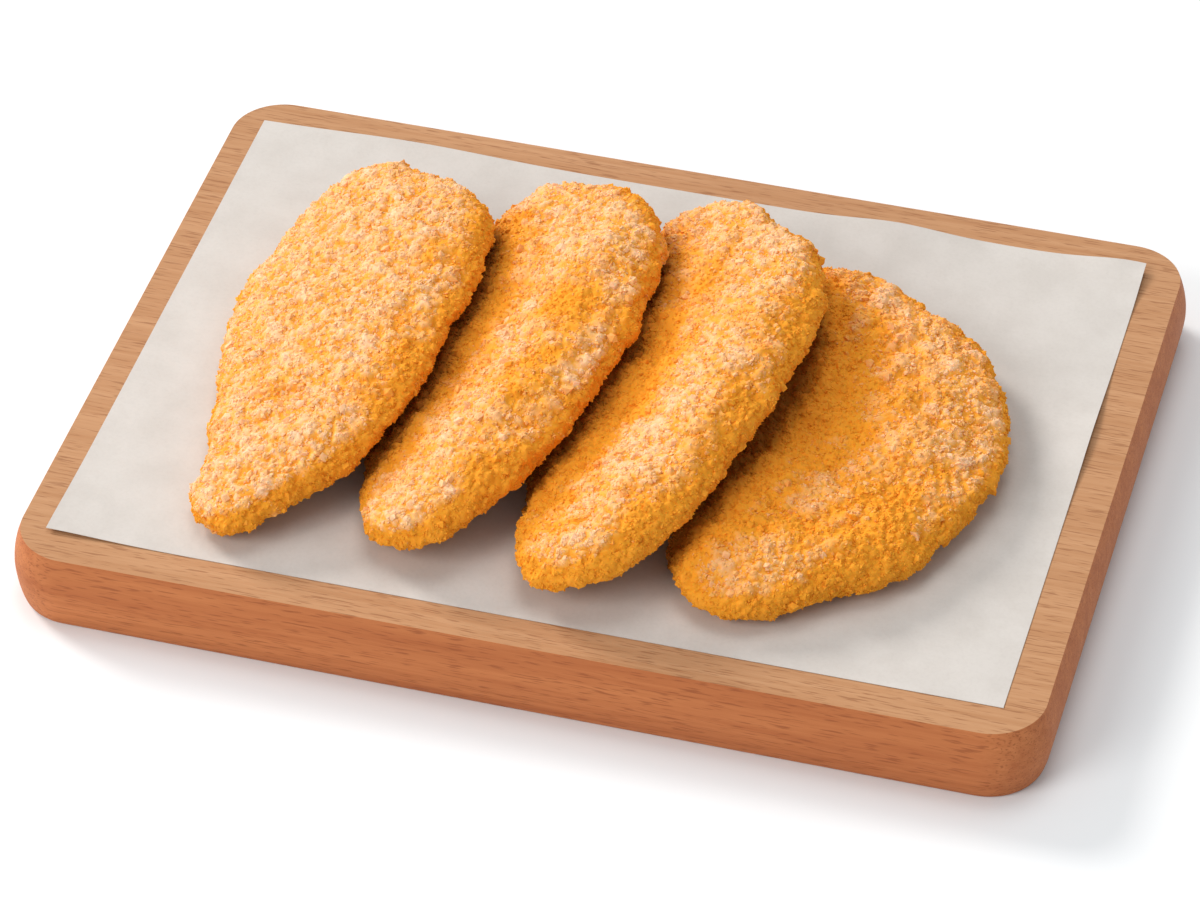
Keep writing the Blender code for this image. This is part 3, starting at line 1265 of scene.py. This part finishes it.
def stand(thing: Object, aim: Vector, turn: float, height: float, away: float) -> None:
    """Stand a lamp or the camera round a point, looking at it.

    Args:
        thing: The lamp or camera.
        aim: The point.
        turn: Its direction from there, in degrees from +X towards +Y.
        height: The direction's slope, in degrees.
        away: Its distance.
    """
    turn, up = math.radians(turn), math.radians(height)
    way = Vector((math.cos(up) * math.cos(turn), math.cos(up) * math.sin(turn), math.sin(up)))
    thing.location = aim + way * away
    thing.rotation_euler = (-way).to_track_quat("-Z", "Y").to_euler()


@dataclass(frozen=True)
class Lamp:
    """A soft light that hangs round the board.

    A disc's breadth is its size in metres and its power is in watts. A far light's
    breadth is the angle that it fills, in degrees, and its power is in watts a square metre.
    """

    name: str
    glow: Glow
    turn: float
    height: float
    breadth: float
    power: float
    away: float = 2.0
    colour: Colour = (1.0, 1.0, 1.0)

    def hang(self, aim: Vector) -> None:
        """Hang the lamp and point it.

        Args:
            aim: The point it lights.
        """
        light = bpy.data.lights.new(self.name, self.glow.value)
        if self.glow is Glow.DISC:
            light.shape = "DISK"
            light.size = self.breadth
        else:
            light.angle = math.radians(self.breadth)
        light.energy = self.power
        light.color = self.colour
        stand(link(self.name, light), aim, self.turn, self.height, self.away)


@dataclass
class Studio:
    """The pale floor, the soft light and the camera."""

    aim_offset: tuple[float, float] = (2.0 * MM, -25.2 * MM)
    distance: float = 1.7285
    elevation: float = 40.34
    turn: float = -74.58
    lens: float = 169.7
    film: float = 36.0
    floor_size: float = 8.0
    floor_drop: float = 0.2 * MM
    lit_height: float = 30 * MM
    sky: Colour = (0.90, 0.96, 1.0)
    sky_strength: float = 0.49
    lamps: tuple[Lamp, ...] = (
        Lamp("key", Glow.FAR, 150, 31, breadth=18, power=2.12, colour=(1.0, 0.98, 0.955)),
        Lamp("overhead", Glow.DISC, 100, 78, breadth=1.2, power=12.5, away=2.2),
        Lamp("front", Glow.DISC, -128, 34, breadth=1.4, power=30, away=2.6),
    )

    def set_camera(self) -> None:
        """Stand the camera in front of the board, looking down on it."""
        low, high = (Vector(corner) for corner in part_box("board"))
        aim = Vector(((low.x + high.x) / 2, (low.y + high.y) / 2, high.z))
        aim += Vector((*self.aim_offset, 0))
        data = bpy.data.cameras.new("camera")
        data.lens = self.lens
        data.sensor_width = self.film
        camera = link("camera", data)
        stand(camera, aim, self.turn, self.elevation, self.distance)
        bpy.context.scene.camera = camera

    def set_floor(self) -> None:
        """Lay the floor under the board."""
        half = self.floor_size / 2
        corners = [(-half, -half, 0), (half, -half, 0), (half, half, 0), (-half, half, 0)]
        mesh = bpy.data.meshes.new("floor")
        mesh.from_pydata(corners, [], [(0, 1, 2, 3)])
        floor = link("floor", mesh)
        floor.location.z = -self.floor_drop
        mesh.materials.append(FloorFinish().material())

    def set_light(self) -> None:
        """Light the room and hang the lamps."""
        world = bpy.data.worlds.new("studio")
        world.use_nodes = True
        sky = world.node_tree.nodes["Background"]
        sky.inputs["Color"].default_value = (*self.sky, 1.0)
        sky.inputs["Strength"].default_value = self.sky_strength
        bpy.context.scene.world = world
        for lamp in self.lamps:
            lamp.hang(Vector((0, 0, self.lit_height)))
        bpy.context.scene.view_settings.view_transform = "Standard"


def main() -> None:
    """Build the studio, the board, the paper, the schnitzels and their crumbs."""
    logging.basicConfig(level=logging.INFO, format="%(message)s")
    studio = Studio()
    studio.set_camera()
    studio.set_light()
    studio.set_floor()
    pieces = [Board().build(), BakingPaper().build()]
    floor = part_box("paper")[0][2] + PAPER_LIE
    finish = CrustFinish().material()
    schnitzels = make_schnitzels()
    for schnitzel in schnitzels:
        schnitzel.lie()
        schnitzel.crumb(Crumbing(), floor)
    # Paint shade and shadow on each schnitzel where the next one's edge lies over it.
    for below, above in zip(schnitzels, schnitzels[1:]):
        below.paint_crevice_shade(above)
    pieces += [schnitzel.build(finish) for schnitzel in schnitzels]
    for crumbs in (
        LooseCrumbs("fine_crumbs", Grain.EIGHT_SIDED, 24500, 0.40 * MM, 0.75 * MM, 0.50, 5),
        LooseCrumbs("medium_crumbs", Grain.EIGHT_SIDED, 20000, 0.65 * MM, 1.10 * MM, 0.58, 6),
        LooseCrumbs("coarse_crumbs", Grain.TWENTY_SIDED, 2400, 1.00 * MM, 2.00 * MM, 0.68, 7, 0.38),
    ):
        pieces.append(crumbs.build(schnitzels, finish, floor))
    for piece in pieces:
        log.info("%s: %d faces", piece.name, len(piece.data.polygons))


if __name__ == "__main__":
    main()
